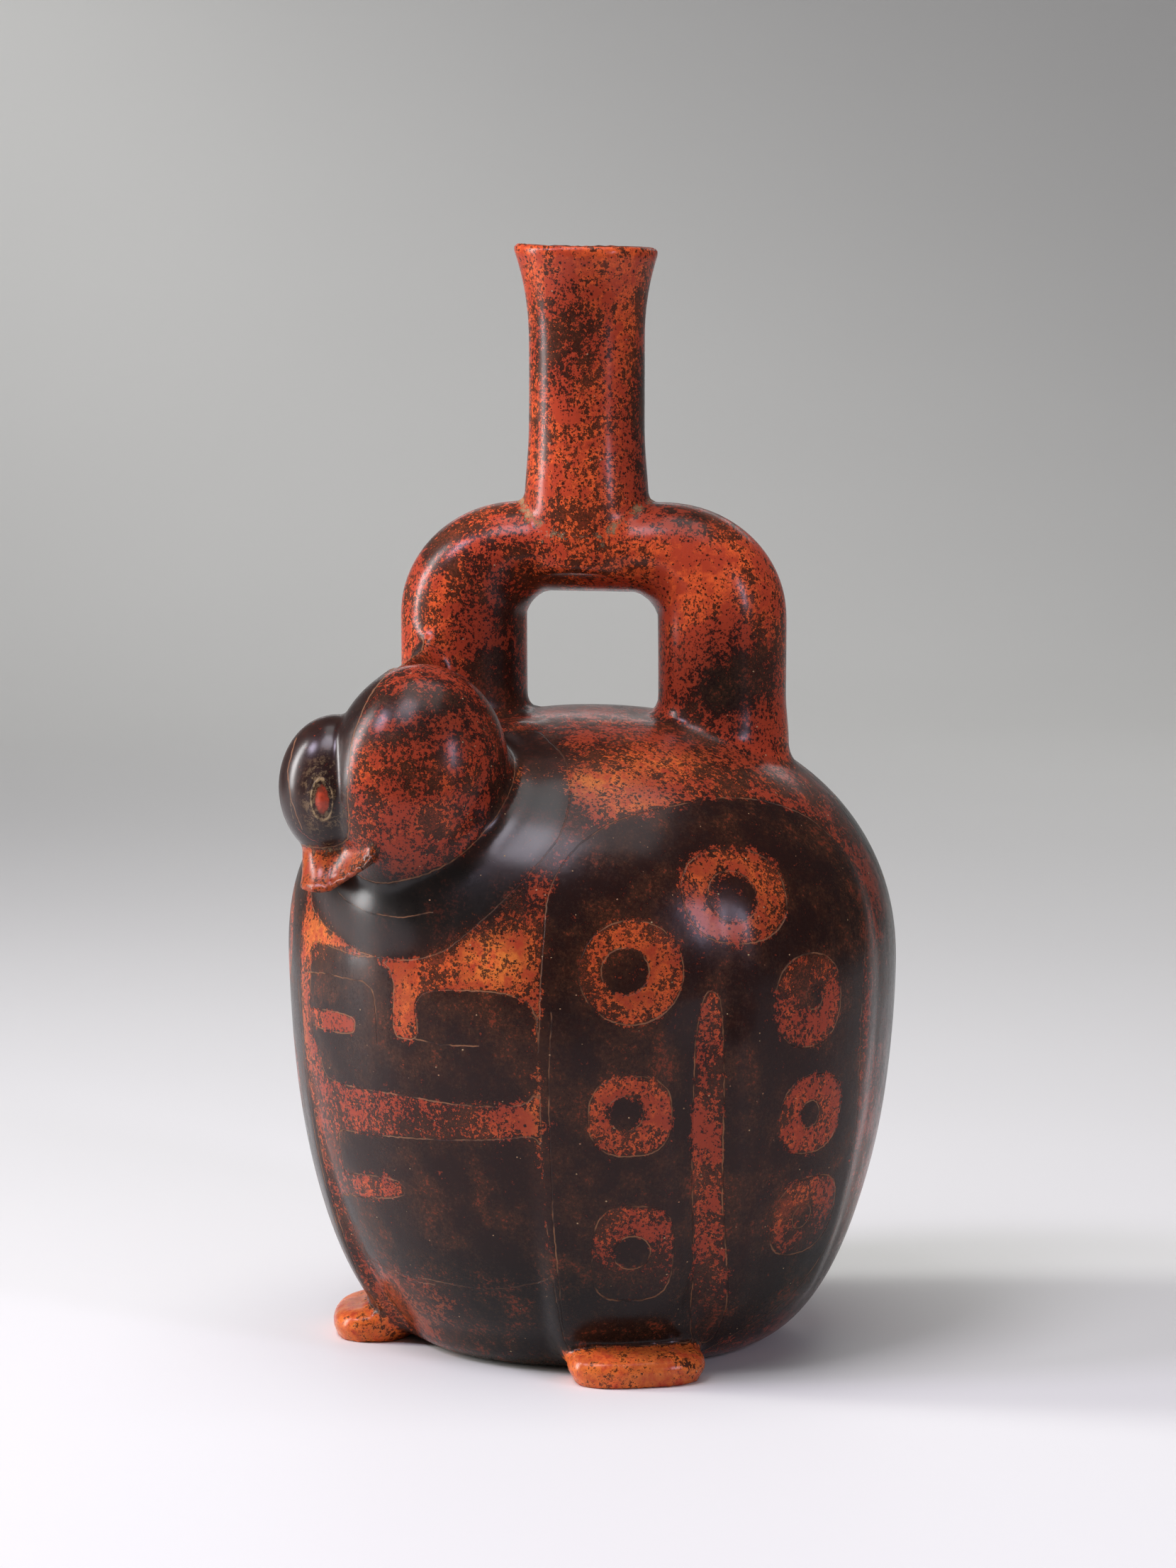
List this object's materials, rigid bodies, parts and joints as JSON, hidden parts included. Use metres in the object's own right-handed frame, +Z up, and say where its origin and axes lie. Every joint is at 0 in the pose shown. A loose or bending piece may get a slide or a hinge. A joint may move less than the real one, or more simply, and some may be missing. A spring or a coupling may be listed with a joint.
{
  "type": "stirrup spout vessel",
  "caption": "Hollow fired clay bottle in the shape of a squatting animal, head turned aside, legs in relief, with an arched stirrup handle that carries a tall flared spout.",
  "frame": {"origin": "middle of the bounding box in plan, on the ground plane under the vessel", "axes": "+Z up; -Y to the animal's front, between its two feet; +X to its left"},
  "size_m": [0.1412, 0.1496, 0.25],
  "materials": {
    "burnished_slip": "burnished, deep red slip with brown-black painted zones and fine dark speckle"
  },
  "bodies": {
    "root": {"vessel": "burnished_slip"}
  },
  "joints": []
}
